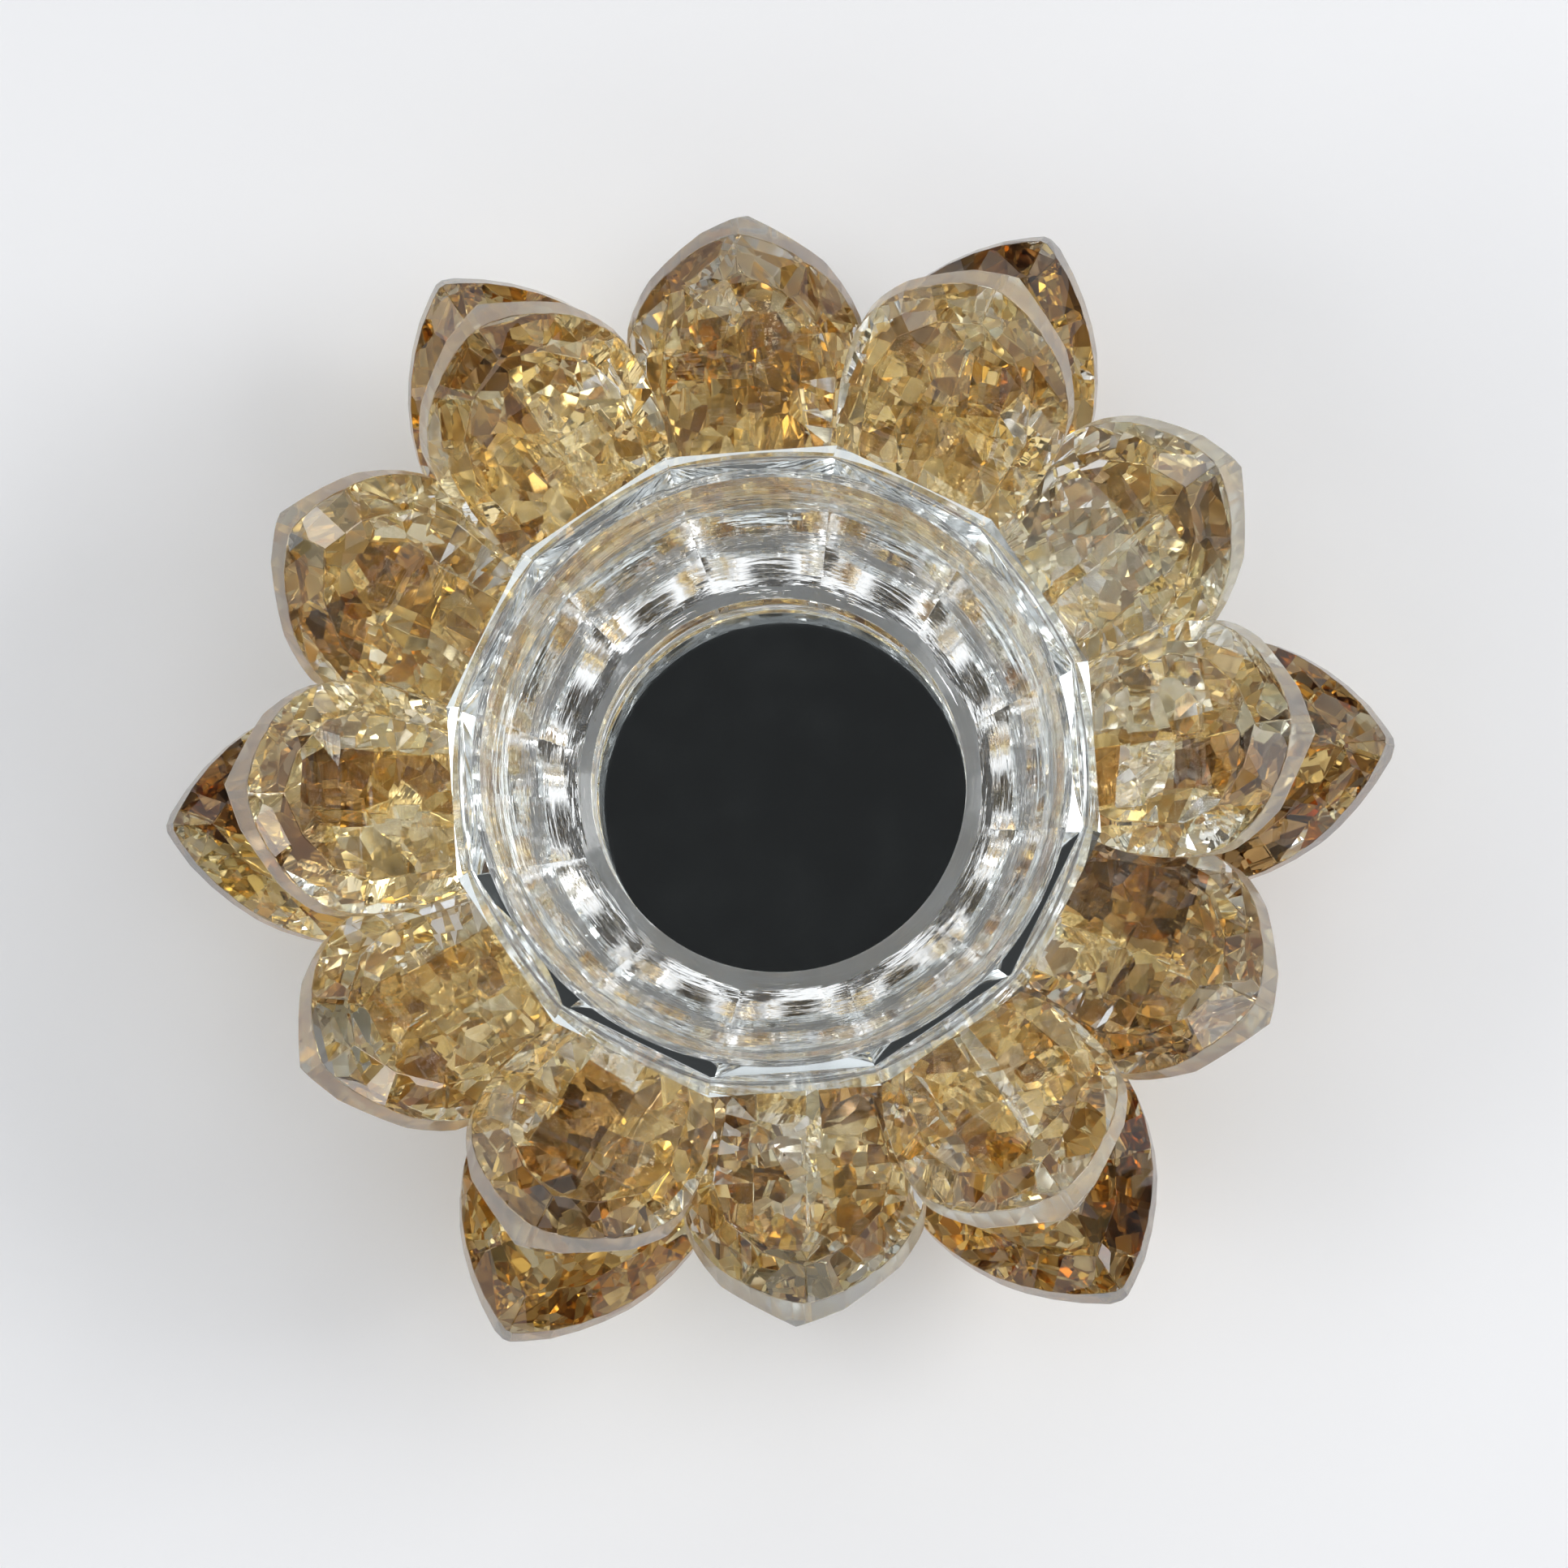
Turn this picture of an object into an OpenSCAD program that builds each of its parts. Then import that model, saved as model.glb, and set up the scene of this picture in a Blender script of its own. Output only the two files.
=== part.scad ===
// Lotus tealight holder of cut glass: a clear twelve-sided cup with eighteen
// amber petals bonded round it in three tiers of six.

/* [Feet and base] */
// Thickness of the clear rubber pads under the base
pad_t = 1.5; // [1:0.1:3]
// Diameter of each pad
pad_d = 8; // [5:0.5:10]
// Height of the clear base block
base_h = 8.5; // [8:0.5:11]
// Width of the bevel round the foot of the base block
base_bevel = 1.5; // [0.5:0.1:2.5]
// Diameter of the mirror disc let into the top of the base
mirror_d = 46; // [38:0.5:46]
// Thickness of the mirror disc
mirror_t = 1; // [0.6:0.1:2]

/* [Cup] */
// Height of the cup from its underside to its rim
cup_h = 34; // [31:0.5:40]
// Width across the flats at the underside of the cup
cup_foot_w = 52; // [51:0.5:56]
// Height of the bevelled band above the widest edge
cup_bevel_h = 4; // [2:0.5:6]
// How far the bevelled band leans in
cup_bevel_in = 1.9; // [1:0.1:2.4]
// Thickness of glass under the well
well_floor = 2.5; // [2:0.1:5]
// Diameter of the straight well that holds the tealight
well_d = 41; // [40:0.5:43]
// Depth of the straight part of the well
well_depth = 10; // [6:0.5:14]
// Diameter of the mouth
mouth_d = 62; // [58:0.5:66]
// Wall from the mouth out to the widest edge of the cup
rim_wall = 3.3; // [3:0.1:4]
// Rounding of the rim's inner edge
rim_round = 0.8; // [0.3:0.1:1]

/* [Petal cut] */
// Thickness of the girdle edge left round each petal
edge_t = 1.8; // [1:0.1:2]
// Width of the bevel round the table
bevel_w = 3.8; // [3:0.1:4.4]
// Height of the table above the girdle
bevel_h = 2; // [1.4:0.1:2.4]
// Depth of the lozenge-cut back below the girdle
back_depth = 8; // [7:0.2:8.6]
// Half the width of one lozenge on the back
lozenge_w = 3.9; // [3.2:0.1:4.4]
// How much deeper every other row of lozenges is ground
row_cut = 0.4; // [0.2:0.1:0.6]
// Width of a petal's root
root_w = 11.5; // [10.5:0.5:12]
// Width of the small flat that blunts a petal's tip
tip_flat = 0.8; // [0.4:0.1:1.6]

/* [Lower petals] */
// Length of a lower petal from the cup to its tip
lower_len = 43.5; // [39:0.5:48]
// Width of a lower petal
lower_w = 28; // [24:0.5:29.5]
// Angle at which it rises, in degrees
lower_angle = 22; // [18:1:25]
// Height of its root on the base block, over the pads
lower_root_h = 6.1; // [5.8:0.1:6.3]

/* [Middle petals] */
// Length of a middle petal from the cup to its tip
middle_len = 45; // [40:0.5:48]
// Width of a middle petal
middle_w = 26; // [23:0.5:28]
// Angle at which it rises, in degrees
middle_angle = 48; // [44:1:49]
// Height of its root over the cup's underside
middle_root_h = 2.8; // [2.5:0.1:3]

/* [Upper petals] */
// Length of an upper petal from the cup to its tip
upper_len = 40.5; // [36:0.5:44]
// Width of an upper petal
upper_w = 25; // [22:0.5:26.5]
// Angle at which it rises, in degrees
upper_angle = 52; // [49:1:55]
// Height of its root over the cup's underside
upper_root_h = 13.3; // [13:0.1:15]

/* [Hidden] */
$fn = 96;
petals = 6;
flats = 2 * petals;
pads = 4;
step = 360 / petals;
over = 1;

// Heights that the pieces share, with the thin glue line between bonded faces
glue_t = 0.05;
base_z = pad_t + glue_t;
mirror_z = base_z + base_h;
cup_z = mirror_z + glue_t;
girdle_z = cup_z + cup_h - cup_bevel_h;
rim_z = cup_z + cup_h;
well_z = cup_z + well_floor;
flare_z = well_z + well_depth;

// Lean of the cup's flats, and the distance from the axis to a flat
cup_girdle_w = mouth_d + 2 * rim_wall;
cup_run = (cup_girdle_w - cup_foot_w) / 2;
cup_rise = cup_h - cup_bevel_h;
flat_lean = atan(cup_run / cup_rise);
function flat_r(z) = cup_foot_w / 2 + (z - cup_z) * tan(flat_lean);
function corner(w) = w / 2 / cos(180 / flats);

// The pads stand inside the bevel, this share of the way out
pad_share = 0.62;
pad_r = cup_foot_w / 2 * pad_share;
mirror_gap = 0.1;

// A petal is widest at this share of its length from the root
low_belly = 0.48;
high_belly = 0.6;

// Its blank is longer by a stub that is ground off against the cup
root_stub = root_w / petals;

// Bevels on each side of the table, towards the tip and towards the root
tip_bevels = 3;
root_bevels = 2;

// Short flats that the polished edge is made of, along each bevel
edge_flats = 3;

// The back is ground to a boat, a little larger than the outline. Lengthways it curves
// evenly. Across, the power runs from 1 for a sharp keel to 2 for an even curve. Towards
// the root it reaches this many root lengths, so that the root stays thick.
boat_share = 1.03;
keel_power = 1.5;
low_reach = 1.6;
high_reach = 3;

// Each column of lozenges is set this share of a lozenge further along than the one
// beside it, so that no four faces meet in one point
skew = 0.3;

amber = [0.78, 0.55, 0.2, 0.75];
clear_glass = [0.85, 0.9, 0.92, 0.6];

// Four clear pads that keep the glass off the table
module bumper_feet() {
    color([0.9, 0.9, 0.9])
        for (i = [0:pads - 1])
            rotate([0, 0, i * 360 / pads])
                translate([pad_r, 0, 0])
                    cylinder(d = pad_d, h = pad_t);
}

// A straight twelve-sided block, its flats facing the petals
module block(w, h) {
    rotate([0, 0, 180 / flats])
        cylinder(r = corner(w), h = h, $fn = flats);
}

// Everything outside one leaning flat, hinged at radius r and height z
module flat_cut(r, z, lean) {
    big = cup_girdle_w + 2 * cup_h;
    for (i = [0:flats - 1])
        rotate([0, 0, i * 360 / flats])
            translate([r, 0, z])
                rotate([0, lean, 0])
                    translate([0, -big / 2, -big / 2])
                        cube(big);
}

// Clear twelve-sided foot with a bevelled bottom edge and a seat for the mirror
module base_block() {
    color(clear_glass)
        difference() {
            translate([0, 0, base_z])
                block(cup_foot_w, base_h);
            translate([0, 0, base_z])
                flat_cut(cup_foot_w / 2 - base_bevel, 0, 45);
            translate([0, 0, mirror_z - mirror_t])
                cylinder(d = mirror_d + 2 * mirror_gap, h = mirror_t + over);
        }
}

// Silvered mirror under the well, flush with the top of the base
module mirror_disc() {
    color([0.1, 0.11, 0.12])
        translate([0, 0, mirror_z - mirror_t])
            cylinder(d = mirror_d, h = mirror_t);
}

// Radius of an arc that leaves a line along it and drops by d over a length l
function arc_r(l, d) = (l * l + d * d) / (2 * d);

// The hollow of the cup: a straight well that opens in one arc to the mouth,
// with a small bevel on the rim's inner edge
module cup_hollow() {
    top_z = rim_z - rim_round;
    flare_r = arc_r(top_z - flare_z, (mouth_d - well_d) / 2);
    lip = rim_round + over;
    rotate_extrude() {
        translate([0, well_z])
            square([well_d / 2, cup_h]);
        intersection() {
            translate([mouth_d / 2 - flare_r, top_z])
                circle(flare_r);
            translate([0, flare_z])
                square([mouth_d, top_z + rim_round - flare_z]);
        }
        polygon([
            [0, top_z - over],
            [mouth_d / 2 - over, top_z - over],
            [mouth_d / 2 + lip, top_z + lip],
            [0, top_z + lip]
        ]);
    }
}

// Clear cup: a twelve-sided blank with leaning flats and a bevelled band ground on
module candle_cup() {
    color(clear_glass)
        difference() {
            translate([0, 0, cup_z])
                block(cup_girdle_w, cup_h);
            flat_cut(cup_girdle_w / 2, girdle_z, flat_lean);
            flat_cut(cup_girdle_w / 2, girdle_z, -atan(cup_bevel_in / cup_bevel_h));
            cup_hollow();
        }
}

// Points on an arc from the widest line of a petal, over a length l and down by drop,
// at the middles of n equal turns; way is 1 towards the tip and -1 towards the root
function edge_arc(l, w, drop, n, way) =
    let (r = arc_r(l, drop), turn = asin(l / r))
    [for (i = [1:n]) let (t = turn * (i - 1 / 2) / n) [way * r * sin(t), w / 2 - r + r * cos(t)]];

function backwards(list) = [for (i = [1:len(list)]) list[len(list) - i]];

// Pointed outline, widest near x = 0, with its blunt tip at tip_l and its root at -root_l
module petal_outline(tip_l, root_l, w) {
    half = concat(
        [[-root_l - root_stub, root_w / 2], [-root_l, root_w / 2]],
        backwards(edge_arc(root_l, w, (w - root_w) / 2, root_bevels * edge_flats, -1)),
        edge_arc(tip_l, w, (w - tip_flat) / 2, tip_bevels * edge_flats, 1),
        [[tip_l, tip_flat / 2]]
    );
    polygon(concat(half, [for (p = backwards(half)) [p.x, -p.y]]));
}

// All that lies behind a flat face at point p, where the face looks along az and el
module behind_face(p, az, el, size) {
    translate(p)
        rotate([0, -el, az])
            translate([-size, -size / 2, -size / 2])
                cube(size);
}

// Faces of the bevels round the table, as [point, az, el]: each is tangent to the
// outline's arc at its middle, and way is 1 towards the tip and -1 towards the root
function bevel_faces(l, w, drop, count, way) =
    let (r = arc_r(l, drop), turn = asin(l / r))
    [
        for (side = [-1, 1], i = [1:count])
            let (t = turn * (i - 1 / 2) / count)
            [
                [way * r * sin(t), side * (w / 2 - r + r * cos(t)), 0],
                side * (90 - way * t),
                90 - atan(bevel_h / bevel_w)
            ]
    ];

// Faces of the lozenges on the back, as [point, az, el]: tangent to the boat at every
// other point of a grid, which has no row on the keel itself
function lozenge_faces(tip_l, root_l, w, reach) =
    let (boat_w = boat_share * w / 2, boat_tip = boat_share * tip_l, k = lozenge_w / boat_w, n = ceil(1 / k))
    [
        for (i = [-n:n], j = [-n:n - 1])
            let (
                x = (i + skew * j) * k * boat_tip,
                boat_l = x < 0 ? reach * root_l : boat_tip,
                u = x / boat_l,
                v = (j + 1 / 2) * k,
                rest = 1 - u * u - pow(abs(v), keel_power),
                depth = edge_t + back_depth * rest - (i % 2 == 0 ? row_cut : 0),
                steep = keel_power * pow(abs(v), keel_power - 1),
                slope = back_depth * [2 * u / boat_l, sign(v) * steep / boat_w]
            )
            if ((i + j) % 2 != 0 && rest > 0 && x > -root_l - root_stub)
                [[x, v * boat_w, -depth], atan2(slope.y, slope.x), atan(norm(slope)) - 90]
    ];

// One cut petal, lying with its girdle on z = 0 and its root at x = 0
module cut_petal(len, w, belly, reach) {
    root_l = len * belly;
    tip_l = len - root_l;
    thick = edge_t + back_depth + bevel_h;
    faces = concat(
        bevel_faces(tip_l, w, (w - tip_flat) / 2, tip_bevels, 1),
        bevel_faces(root_l, w, (w - root_w) / 2, root_bevels, -1),
        lozenge_faces(tip_l, root_l, w, reach)
    );
    translate([root_l, 0, 0])
        intersection() {
            translate([0, 0, bevel_h - thick])
                linear_extrude(thick)
                    petal_outline(tip_l, root_l, w);
            intersection_for (f = faces)
                behind_face(f[0], f[1], f[2], 2 * len);
        }
}

// Everything inside one flat of the core: the base's upright flat and the cup's leaning one
module core_side() {
    big = 2 * (cup_girdle_w + cup_h);
    behind_face([cup_foot_w / 2 + glue_t, 0, cup_z], 0, 0, big);
    behind_face([cup_girdle_w / 2 + glue_t / cos(flat_lean), 0, girdle_z], 0, -flat_lean, big);
}

// A petal bonded to the core: its root is ground to the flat at height z
module bonded_petal(len, w, belly, reach, angle, z, turn) {
    root_r = max(cup_foot_w / 2, flat_r(z));
    color(amber)
        rotate([0, 0, turn])
            difference() {
                translate([root_r, 0, z])
                    rotate([0, -angle, 0])
                        cut_petal(len, w, belly, reach);
                core_side();
            }
}

module lower_petal(i) {
    bonded_petal(lower_len, lower_w, low_belly, low_reach, lower_angle, base_z + lower_root_h, (i - 1) * step);
}

module middle_petal(i) {
    bonded_petal(middle_len, middle_w, high_belly, high_reach, middle_angle, cup_z + middle_root_h, (i - 1 / 2) * step);
}

module upper_petal(i) {
    bonded_petal(upper_len, upper_w, high_belly, high_reach, upper_angle, cup_z + upper_root_h, (i - 1) * step);
}

bumper_feet();
base_block();
mirror_disc();
candle_cup();
for (i = [1:petals]) {
    lower_petal(i);
    middle_petal(i);
    upper_petal(i);
}
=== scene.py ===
import bpy, math, random
from mathutils import Matrix, Vector


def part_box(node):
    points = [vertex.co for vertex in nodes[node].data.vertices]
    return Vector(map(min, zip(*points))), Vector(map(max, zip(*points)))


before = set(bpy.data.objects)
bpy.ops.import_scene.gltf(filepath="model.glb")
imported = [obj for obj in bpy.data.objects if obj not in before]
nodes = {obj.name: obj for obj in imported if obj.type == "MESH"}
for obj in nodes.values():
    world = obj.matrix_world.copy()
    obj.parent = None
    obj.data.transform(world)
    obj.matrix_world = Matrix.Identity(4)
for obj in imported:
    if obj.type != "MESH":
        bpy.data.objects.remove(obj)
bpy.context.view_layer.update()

# The camera looks almost straight down into the cup, a little from the near side and from
# the right. The flower is turned a few degrees anticlockwise in its view.
MM = 0.001
flower_turn = math.radians(3.9)
view_right = Vector((math.cos(flower_turn), -math.sin(flower_turn), 0))
view_up = Vector((math.sin(flower_turn), math.cos(flower_turn), 0))
camera_way = (view_right * 0.033 - view_up * 0.090 + Vector((0, 0, 0.995))).normalized()
camera_distance = 700 * MM
well_floor = Vector((0, 0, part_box("mirror_disc")[1].z + 2.5 * MM))
aim = well_floor + view_right * 0.27 * MM + view_up * 0.99 * MM

camera_data = bpy.data.cameras.new("camera")
camera_data.sensor_width = 36
camera_data.lens = 145.06
camera_data.clip_start = 10 * MM
camera = bpy.data.objects.new("camera", camera_data)
bpy.context.scene.collection.objects.link(camera)
camera_side = view_up.cross(camera_way).normalized()
camera.matrix_world = Matrix.Translation(aim + camera_way * camera_distance) @ Matrix(
    (camera_side, camera_way.cross(camera_side), camera_way)).transposed().to_4x4()
bpy.context.scene.camera = camera


# The cup is one piece of water-clear cut glass: twelve leaning flats, a bevelled band under
# the rim, and a round well whose flare still shows the rings it was turned and polished in.
def new_material(name):
    material = bpy.data.materials.new(name)
    material.use_nodes = True
    tree = material.node_tree
    tree.nodes.clear()
    out = tree.nodes.new("ShaderNodeOutputMaterial")
    shader = tree.nodes.new("ShaderNodeBsdfPrincipled")
    tree.links.new(shader.outputs["BSDF"], out.inputs["Surface"])
    return material, tree, shader


def math_node(tree, operation, first, second=None):
    node = tree.nodes.new("ShaderNodeMath")
    node.operation = operation
    for place, value in enumerate((first, second)):
        if isinstance(value, bpy.types.NodeSocket):
            tree.links.new(value, node.inputs[place])
        elif value is not None:
            node.inputs[place].default_value = value
    return node.outputs[0]


def noise(tree, vector, scale, detail=2.0):
    node = tree.nodes.new("ShaderNodeTexNoise")
    node.inputs["Scale"].default_value = scale
    node.inputs["Detail"].default_value = detail
    tree.links.new(vector, node.inputs["Vector"])
    return node.outputs["Fac"]


def spread(tree, value, low, high, to_low, to_high):
    node = tree.nodes.new("ShaderNodeMapRange")
    tree.links.new(value, node.inputs["Value"])
    for name, number in (("From Min", low), ("From Max", high), ("To Min", to_low), ("To Max", to_high)):
        node.inputs[name].default_value = number
    return node.outputs["Result"]


def relief(tree, height, depth, strength=1.0):
    node = tree.nodes.new("ShaderNodeBump")
    node.inputs["Distance"].default_value = depth
    node.inputs["Strength"].default_value = strength
    tree.links.new(height, node.inputs["Height"])
    return node.outputs["Normal"]


def dress(node, material):
    """The node gets this one material."""
    nodes[node].data.materials.clear()
    nodes[node].data.materials.append(material)


def touched_edges(node, width, angle):
    """The fine polished line along every ground edge. The meshes from model.glb are split along their
    edges, so the faces that meet are joined first."""
    joined = nodes[node].modifiers.new("joined_faces", "WELD")
    joined.merge_threshold = 0.001 * MM
    bevel = nodes[node].modifiers.new("touched_edges", "BEVEL")
    bevel.width = width
    bevel.segments = 2
    bevel.limit_method = "ANGLE"
    bevel.angle_limit = math.radians(angle)


crown_glass_index = 1.52
cup_glass, tree, glass = new_material("cup_glass")
glass.inputs["Base Color"].default_value = (0.97, 0.985, 0.985, 1)
glass.inputs["Transmission Weight"].default_value = 1
glass.inputs["IOR"].default_value = crown_glass_index
place = tree.nodes.new("ShaderNodeTexCoord").outputs["Object"]
parts = tree.nodes.new("ShaderNodeSeparateXYZ")
tree.links.new(place, parts.inputs["Vector"])
radius = math_node(tree, "SQRT", math_node(tree, "ADD",
    math_node(tree, "MULTIPLY", parts.outputs["X"], parts.outputs["X"]),
    math_node(tree, "MULTIPLY", parts.outputs["Y"], parts.outputs["Y"])))
around = math_node(tree, "ARCTAN2", parts.outputs["Y"], parts.outputs["X"])
rings_across, ring_waver, rings_down = 1100.0, 2.2, 500.0
ring_place = tree.nodes.new("ShaderNodeCombineXYZ")
tree.links.new(math_node(tree, "MULTIPLY", radius, rings_across), ring_place.inputs["X"])
tree.links.new(math_node(tree, "MULTIPLY", around, ring_waver), ring_place.inputs["Y"])
tree.links.new(math_node(tree, "MULTIPLY", parts.outputs["Z"], rings_down), ring_place.inputs["Z"])
rings = noise(tree, ring_place.outputs["Vector"], 1.0, 3.0)

# The rings are only on the hollow, where the glass faces the axis. The cut flats are plain.
facing = tree.nodes.new("ShaderNodeNewGeometry")
outward = tree.nodes.new("ShaderNodeCombineXYZ")
tree.links.new(parts.outputs["X"], outward.inputs["X"])
tree.links.new(parts.outputs["Y"], outward.inputs["Y"])
lean = tree.nodes.new("ShaderNodeVectorMath")
lean.operation = "DOT_PRODUCT"
tree.links.new(facing.outputs["True Normal"], lean.inputs[0])
tree.links.new(outward.outputs["Vector"], lean.inputs[1])
side_seen = math_node(
    tree, "SUBTRACT", 1.0, math_node(tree, "MULTIPLY", facing.outputs["Backfacing"], 2.0))
true_lean = math_node(tree, "MULTIPLY", lean.outputs["Value"], side_seen)
hollow = math_node(tree, "LESS_THAN", true_lean, -0.001)
ring_height = math_node(tree, "MULTIPLY", rings, hollow)
ring_depth = 0.15 * MM
tree.links.new(relief(tree, ring_height, ring_depth), glass.inputs["Normal"])
tree.links.new(spread(tree, noise(tree, place, 90), 0.45, 0.75, 0.0, 0.02), glass.inputs["Roughness"])
dress("candle_cup", cup_glass)
touched_edges("candle_cup", 0.16 * MM, 12)

# Under the well lies a round silvered mirror, let into the top of the base. Seen from above it
# shows the dark ceiling of the studio. Its film has the faint haze of a pressed mirror.
mirror_material, tree, mirror = new_material("silver_mirror")
mirror.inputs["Base Color"].default_value = (0.82, 0.85, 0.86, 1)
mirror.inputs["Metallic"].default_value = 1
place = tree.nodes.new("ShaderNodeTexCoord").outputs["Object"]
tree.links.new(spread(tree, noise(tree, place, 160, 4), 0.35, 0.7, 0.02, 0.06), mirror.inputs["Roughness"])
dress("mirror_disc", mirror_material)

# The base is a low twelve-sided block of the same clear glass, satin-ground all over so that
# the glue holds.
base_glass, tree, ground = new_material("ground_glass")
ground.inputs["Base Color"].default_value = (0.90, 0.91, 0.92, 1)
ground.inputs["Transmission Weight"].default_value = 0.35
ground.inputs["IOR"].default_value = crown_glass_index
place = tree.nodes.new("ShaderNodeTexCoord").outputs["Object"]
tree.links.new(spread(tree, noise(tree, place, 700, 3), 0.3, 0.7, 0.3, 0.5), ground.inputs["Roughness"])
tree.links.new(relief(tree, noise(tree, place, 2600, 2), 0.03 * MM, 0.5), ground.inputs["Normal"])
dress("base_block", base_glass)
touched_edges("base_block", 0.2 * MM, 12)

# Four clear silicone pads keep the glass off the table. Their skin is a little dull and has
# taken up some dust.
pad_material, tree, rubber = new_material("clear_rubber")
rubber.inputs["Base Color"].default_value = (0.85, 0.87, 0.87, 1)
rubber.inputs["Transmission Weight"].default_value = 0.7
rubber.inputs["IOR"].default_value = 1.41
place = tree.nodes.new("ShaderNodeTexCoord").outputs["Object"]
tree.links.new(spread(tree, noise(tree, place, 900, 4), 0.35, 0.7, 0.25, 0.55), rubber.inputs["Roughness"])
dress("bumper_feet", pad_material)
touched_edges("bumper_feet", 0.25 * MM, 40)


# Eighteen petals of crystal in three tiers. The glass itself is clear, and its flat front is
# polished in many small facets. The lozenges on the back carry a thin champagne mirror film,
# laid on unevenly, so that they run from umber to nearly clear. The girdle is fine-ground.
def small_facets(tree, scale, tilt):
    """A normal tilted a little another way in each cell, as small polished facets are."""
    cells = tree.nodes.new("ShaderNodeTexVoronoi")
    cells.inputs["Scale"].default_value = scale
    tree.links.new(tree.nodes.new("ShaderNodeTexCoord").outputs["Object"], cells.inputs["Vector"])
    lean = tree.nodes.new("ShaderNodeVectorMath")
    lean.operation = "MULTIPLY_ADD"
    tree.links.new(cells.outputs["Color"], lean.inputs[0])
    lean.inputs[1].default_value = (2 * tilt,) * 3
    lean.inputs[2].default_value = (-tilt,) * 3
    plane = tree.nodes.new("ShaderNodeNewGeometry")
    total = tree.nodes.new("ShaderNodeVectorMath")
    total.operation = "ADD"
    tree.links.new(plane.outputs["Normal"], total.inputs[0])
    tree.links.new(lean.outputs["Vector"], total.inputs[1])
    unit = tree.nodes.new("ShaderNodeVectorMath")
    unit.operation = "NORMALIZE"
    tree.links.new(total.outputs["Vector"], unit.inputs[0])
    return unit.outputs["Vector"]


crystal_index = 1.56
front_glass, tree, glass = new_material("petal_glass")
glass.inputs["Base Color"].default_value = (0.99, 0.985, 0.97, 1)
glass.inputs["Transmission Weight"].default_value = 1
glass.inputs["IOR"].default_value = crystal_index
place = tree.nodes.new("ShaderNodeTexCoord").outputs["Object"]
tree.links.new(small_facets(tree, 190, 0.11), glass.inputs["Normal"])
tree.links.new(spread(tree, noise(tree, place, 90), 0.45, 0.75, 0.0, 0.02), glass.inputs["Roughness"])

# Four grades of the film. Each small facet of a coat has its own tint between two colours.
coat_cells = 260
coats = []
for name, dark, pale in (("umber_coat", (0.10, 0.045, 0.012), (0.60, 0.35, 0.10)),
                         ("amber_coat", (0.42, 0.25, 0.07), (0.90, 0.69, 0.30)),
                         ("champagne_coat", (0.72, 0.55, 0.25), (0.97, 0.90, 0.66)),
                         ("pale_coat", (0.85, 0.81, 0.62), (0.99, 0.98, 0.94))):
    back_coat, tree, coat = new_material(name)
    coat.inputs["Metallic"].default_value = 0.93
    coat.inputs["Transmission Weight"].default_value = 1
    coat.inputs["IOR"].default_value = crystal_index
    coat.inputs["Roughness"].default_value = 0.02
    place = tree.nodes.new("ShaderNodeTexCoord").outputs["Object"]
    tints = tree.nodes.new("ShaderNodeValToRGB")
    tints.color_ramp.elements[0].position = 0.15
    tints.color_ramp.elements[0].color = (*dark, 1)
    tints.color_ramp.elements[1].position = 0.8
    tints.color_ramp.elements[1].color = (*pale, 1)
    cells = tree.nodes.new("ShaderNodeTexVoronoi")
    cells.inputs["Scale"].default_value = coat_cells
    tree.links.new(place, cells.inputs["Vector"])
    cell_tint = tree.nodes.new("ShaderNodeSeparateColor")
    tree.links.new(cells.outputs["Color"], cell_tint.inputs["Color"])
    tree.links.new(cell_tint.outputs["Red"], tints.inputs["Fac"])
    tree.links.new(tints.outputs["Color"], coat.inputs["Base Color"])
    tree.links.new(small_facets(tree, coat_cells, 0.1), coat.inputs["Normal"])
    coats.append(back_coat)

girdle_glass, tree, girdle = new_material("ground_girdle")
girdle.inputs["Base Color"].default_value = (0.93, 0.94, 0.94, 1)
girdle.inputs["Transmission Weight"].default_value = 0.82
girdle.inputs["IOR"].default_value = crystal_index
place = tree.nodes.new("ShaderNodeTexCoord").outputs["Object"]
tree.links.new(spread(tree, noise(tree, place, 300, 3), 0.3, 0.7, 0.12, 0.22), girdle.inputs["Roughness"])


def table_way(mesh):
    """The direction that the largest flat face of a cut petal looks in."""
    areas = {}
    for face in mesh.polygons:
        key = tuple(round(v, 2) for v in face.normal)
        areas[key] = areas.get(key, 0) + face.area
    return Vector(max(areas, key=areas.get)).normalized()


# The film stops short of the girdle, further in on the two upper tiers, whose tips stay clear.
# The shares are where one grade of film gives way to the next, from umber to nearly clear.
bevel_height = 2 * MM
girdle_lean = 0.05
shares = {"lower": (0.2, 0.65, 0.9), "middle": (0.08, 0.45, 0.8), "upper": (0.12, 0.6, 0.88)}
clear_depth = {"lower": 3.5 * MM, "middle": 5.5 * MM, "upper": 5.5 * MM}
for tier in ("lower", "middle", "upper"):
    for i in range(1, 7):
        petal = f"{tier}_petal_{i}"
        dress(petal, front_glass)
        mesh = nodes[petal].data
        mesh.materials.append(girdle_glass)
        for back_coat in coats:
            mesh.materials.append(back_coat)
        up = table_way(mesh)
        girdle_level = max(v.co.dot(up) for v in mesh.vertices) - bevel_height
        for face in mesh.polygons:
            lean = face.normal.dot(up)
            if abs(lean) < girdle_lean:
                face.material_index = 1
            elif lean < 0 and girdle_level - face.center.dot(up) > clear_depth[tier]:
                facet = random.Random(str([round(v * 20) for v in face.normal])).random()
                face.material_index = 2 + sum(facet > share for share in shares[tier])
            else:
                face.material_index = 0
        touched_edges(petal, 0.12 * MM, 14)

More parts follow.
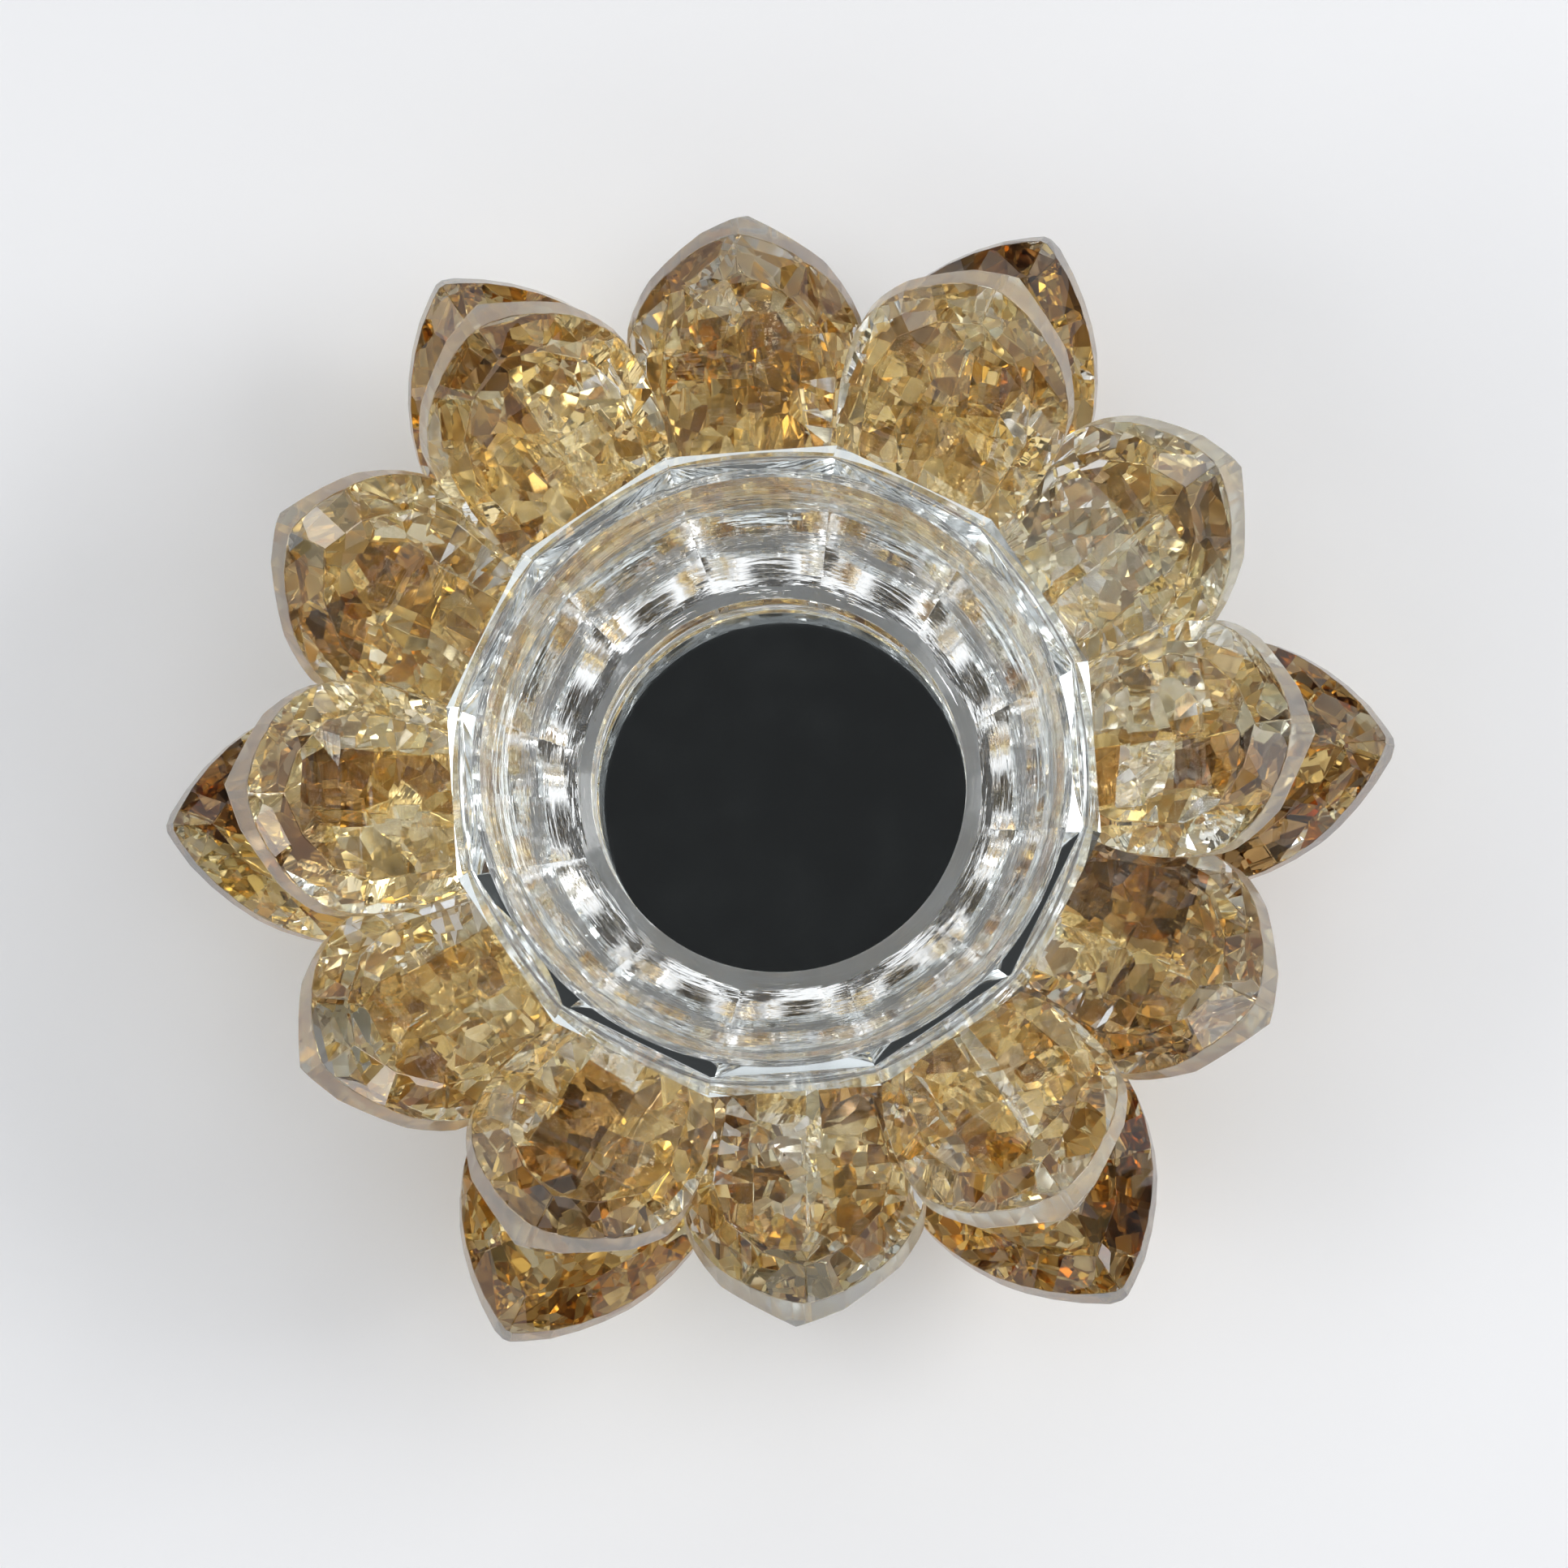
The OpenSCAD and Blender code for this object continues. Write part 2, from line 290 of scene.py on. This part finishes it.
# The holder stands on a wide sheet of pale matt paper. Two square softboxes light it, the
# stronger one from the right and the weaker one from the left.
floor_mesh = bpy.data.meshes.new("table")
reach = 4.0
floor_corners = [(-reach, -reach, 0), (reach, -reach, 0), (reach, reach, 0), (-reach, reach, 0)]
floor_mesh.from_pydata(floor_corners, [], [(0, 1, 2, 3)])
table = bpy.data.objects.new("table", floor_mesh)
bpy.context.scene.collection.objects.link(table)
table_material, tree, paper = new_material("table_paper")
paper.inputs["Base Color"].default_value = (0.94, 0.94, 0.955, 1)
paper.inputs["Roughness"].default_value = 0.9
paper.inputs["Specular IOR Level"].default_value = 0.1
floor_mesh.materials.append(table_material)


def softbox(name, way, distance, size, power):
    """A square soft light that points at the holder from the given way in the camera's frame."""
    lamp = bpy.data.lights.new(name, "AREA")
    lamp.shape = "SQUARE"
    lamp.size = size
    lamp.energy = power
    box = bpy.data.objects.new(name, lamp)
    spot = (view_right * way[0] + view_up * way[1] + Vector((0, 0, way[2]))).normalized() * distance
    box.location = spot
    box.rotation_euler = spot.to_track_quat("Z", "Y").to_euler()
    bpy.context.scene.collection.objects.link(box)


softbox("key_softbox", (0.9, 0.15, 0.65), 1.2, 0.6, 6)
softbox("fill_softbox", (-0.9, -0.2, 0.6), 1.4, 0.7, 4)

# Round the table stand bright screens in rows with dark gaps between them. Straight above,
# where the camera is, the studio is dark.
world = bpy.data.worlds.new("studio")
bpy.context.scene.world = world
world.use_nodes = True
tree = world.node_tree
tree.nodes.clear()
out = tree.nodes.new("ShaderNodeOutputWorld")
light = tree.nodes.new("ShaderNodeBackground")
sky_way = tree.nodes.new("ShaderNodeTexCoord")
height = tree.nodes.new("ShaderNodeSeparateXYZ")
fade = tree.nodes.new("ShaderNodeValToRGB")
fade.color_ramp.elements[0].position = 0.978
fade.color_ramp.elements[0].color = (1, 1, 1, 1)
fade.color_ramp.elements[1].position = 0.989
fade.color_ramp.elements[1].color = (0, 0, 0, 1)
tree.links.new(sky_way.outputs["Generated"], height.inputs["Vector"])
tree.links.new(height.outputs["Z"], fade.inputs["Fac"])
turn = math_node(tree, "ARCTAN2", height.outputs["Y"], height.outputs["X"])
drift = math_node(tree, "SINE", math_node(tree, "ADD", turn, 0.9))
screen_rows = math_node(tree, "MULTIPLY", height.outputs["Z"], 27.0)
bands = math_node(tree, "SINE", math_node(tree, "ADD", screen_rows, drift))
gap_light, screen_light, ceiling_light = 0.03, 1.08, 0.024
bright = spread(tree, bands, -0.3, -0.1, gap_light, screen_light)
bright = math_node(tree, "ADD", math_node(tree, "MULTIPLY", bright, fade.outputs["Color"]), ceiling_light)
tint = tree.nodes.new("ShaderNodeCombineColor")
for name, share in (("Red", 0.98), ("Green", 1.0), ("Blue", 1.02)):
    tree.links.new(math_node(tree, "MULTIPLY", bright, share), tint.inputs[name])
tree.links.new(tint.outputs["Color"], light.inputs["Color"])
tree.links.new(light.outputs["Background"], out.inputs["Surface"])

# Light crosses many walls of glass on its way, so it is followed a long way.
scene = bpy.context.scene
scene.view_settings.view_transform = "Standard"
scene.cycles.max_bounces = 64
scene.cycles.transmission_bounces = 64
scene.cycles.glossy_bounces = 64
